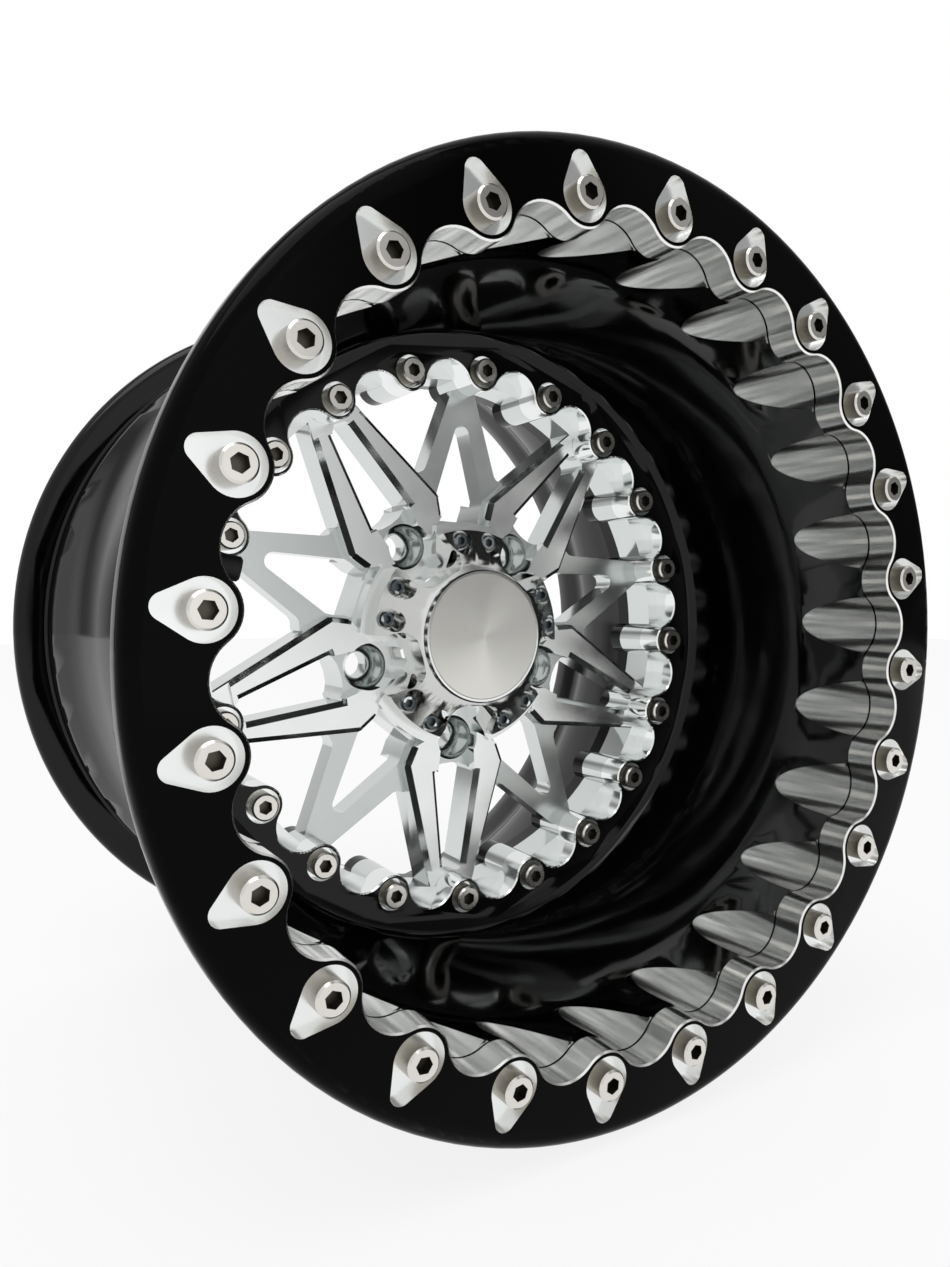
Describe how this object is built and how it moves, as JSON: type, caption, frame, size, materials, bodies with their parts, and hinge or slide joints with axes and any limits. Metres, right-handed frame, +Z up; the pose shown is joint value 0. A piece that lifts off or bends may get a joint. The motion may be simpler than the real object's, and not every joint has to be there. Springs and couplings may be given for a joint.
{
  "type": "beadlock wheel",
  "caption": "Two-piece-barrel beadlock wheel with a milled spoke centre, scalloped clamp ring, fluted bore and centre cap.",
  "frame": {"origin": "centre of the flat face that meets the vehicle's hub, on the wheel axis", "axes": "+Y along the wheel axis, from the outside of the wheel towards the vehicle; +Z up as pictured"},
  "size_m": [0.4144, 0.3147, 0.4144],
  "materials": {
    "black_powder_coat": "gloss black",
    "machined_aluminium": "bare machined, bright",
    "polished_aluminium": "bare machined, polished",
    "turned_aluminium": "turned with fine circular lines",
    "stainless_bolt": "satin",
    "zinc_plated_screw": "bright zinc",
    "seal_rubber": "matt",
    "valve_plastic": "matt",
    "valve_brass": "satin"
  },
  "bodies": {
    "root": {"beadlock_ring": "black_powder_coat", "outer_barrel": "black_powder_coat", "wheel_centre": "machined_aluminium", "inner_barrel": "black_powder_coat", "beadlock_bolts": "stainless_bolt", "assembly_bolts": "stainless_bolt", "rim_seals": "seal_rubber", "cap_body": "polished_aluminium", "cap_disc": "turned_aluminium", "cap_screws": "zinc_plated_screw", "valve_stem": "valve_brass", "valve_seal": "seal_rubber", "valve_nut": "valve_brass", "valve_cap": "valve_plastic"}
  },
  "joints": []
}
